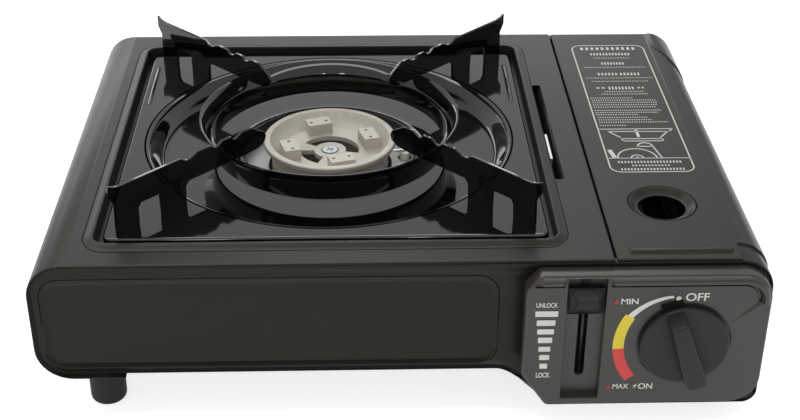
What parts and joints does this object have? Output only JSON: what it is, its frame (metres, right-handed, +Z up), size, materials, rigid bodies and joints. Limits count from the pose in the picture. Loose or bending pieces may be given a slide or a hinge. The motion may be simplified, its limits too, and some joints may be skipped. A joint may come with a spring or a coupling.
{
  "type": "butane cassette stove",
  "caption": "Single-burner tabletop gas stove with a lift-out drip tray and pan support, a hinged lid over the cartridge bay, a rotary gas knob and a sliding cartridge lock.",
  "frame": {"origin": "centre of the footprint on the table", "axes": "+X to the cartridge side, +Y to the back, +Z up; the knob faces -Y"},
  "size_m": [0.343, 0.276, 0.1126],
  "materials": {
    "casing_paint": "satin",
    "floor_paint": "satin",
    "black_enamel": "gloss",
    "cast_aluminium": "satin",
    "aluminium": "satin",
    "zinc_steel": "satin",
    "die_cast_zinc": "matte",
    "screw_steel": "satin",
    "brass": "satin",
    "black_rubber": "matte",
    "panel_plastic": "matte",
    "black_plastic": "satin",
    "white_plastic": "satin",
    "ceramic": "satin",
    "lead_silicone": "satin"
  },
  "bodies": {
    "casing": {"body_shell": "casing_paint", "front_panel": "casing_paint", "rear_panel": "casing_paint", "base_plate": "floor_paint", "burner_head": "cast_aluminium", "burner_cup": "cast_aluminium", "mixing_tube": "aluminium", "heat_plate": "aluminium", "bay_partition": "zinc_steel", "burner_bracket": "zinc_steel", "reflector_plate": "zinc_steel", "valve_bracket": "zinc_steel", "diaphragm_cover": "zinc_steel", "electrode_bracket": "zinc_steel", "carriage_rails": "zinc_steel", "cartridge_cradle_front": "zinc_steel", "cartridge_cradle_rear": "zinc_steel", "valve_body": "die_cast_zinc", "lid_hinge_pins": "screw_steel", "burner_screw": "screw_steel", "bracket_screws": "screw_steel", "valve_screws": "screw_steel", "diaphragm_screws": "screw_steel", "panel_screws": "screw_steel", "foot_screws": "screw_steel", "casing_screws": "screw_steel", "spark_electrode": "screw_steel", "return_spring": "screw_steel", "gas_pipe": "brass", "gas_jet": "brass", "socket_seal": "black_rubber", "lead_grommet": "black_rubber", "foot_front_left": "black_rubber", "foot_rear_left": "black_rubber", "foot_front_right": "black_rubber", "foot_rear_right": "black_rubber", "control_panel": "panel_plastic", "piezo_igniter": "white_plastic", "ceramic_sleeve": "ceramic", "ignition_lead": "lead_silicone"},
    "lid": {"cartridge_lid": "casing_paint"},
    "knob": {"control_knob": "black_plastic", "valve_spindle": "brass"},
    "lever": {"lock_lever": "black_plastic", "lever_plate": "zinc_steel", "cam_pin": "screw_steel"},
    "carriage": {"cartridge_carriage": "zinc_steel"},
    "pan_support": {"drip_tray": "black_enamel", "support_ring": "black_enamel", "support_arm_front_left": "black_enamel", "support_arm_front_right": "black_enamel", "support_arm_rear_left": "black_enamel", "support_arm_rear_right": "black_enamel"}
  },
  "joints": [
    {"name": "lid_hinge", "type": "hinge", "parent": "casing", "child": "lid", "pos_m": [0.1655, 0, 0.012], "axis": [0, 1, 0], "range_deg": [0, 90]},
    {"name": "knob_turn", "type": "hinge", "parent": "casing", "child": "knob", "pos_m": [0.13, -0.12, 0.0475], "axis": [0, -1, 0], "range_deg": [0, 120]},
    {"name": "lever_slide", "type": "slide", "parent": "casing", "child": "lever", "axis": [0, 0, -1], "range_m": [0, 0.038]},
    {"name": "carriage_slide", "type": "slide", "parent": "casing", "child": "carriage", "axis": [0, -1, 0], "range_m": [0, 0.008], "deforming": ["return_spring"]},
    {"name": "support_lift", "type": "slide", "parent": "casing", "child": "pan_support", "axis": [0, 0, 1], "range_m": [0, 0.12]}
  ],
  "couplings": [
    {"joint": "carriage_slide", "follows": "lever_slide", "ratio": 0.21053}
  ]
}
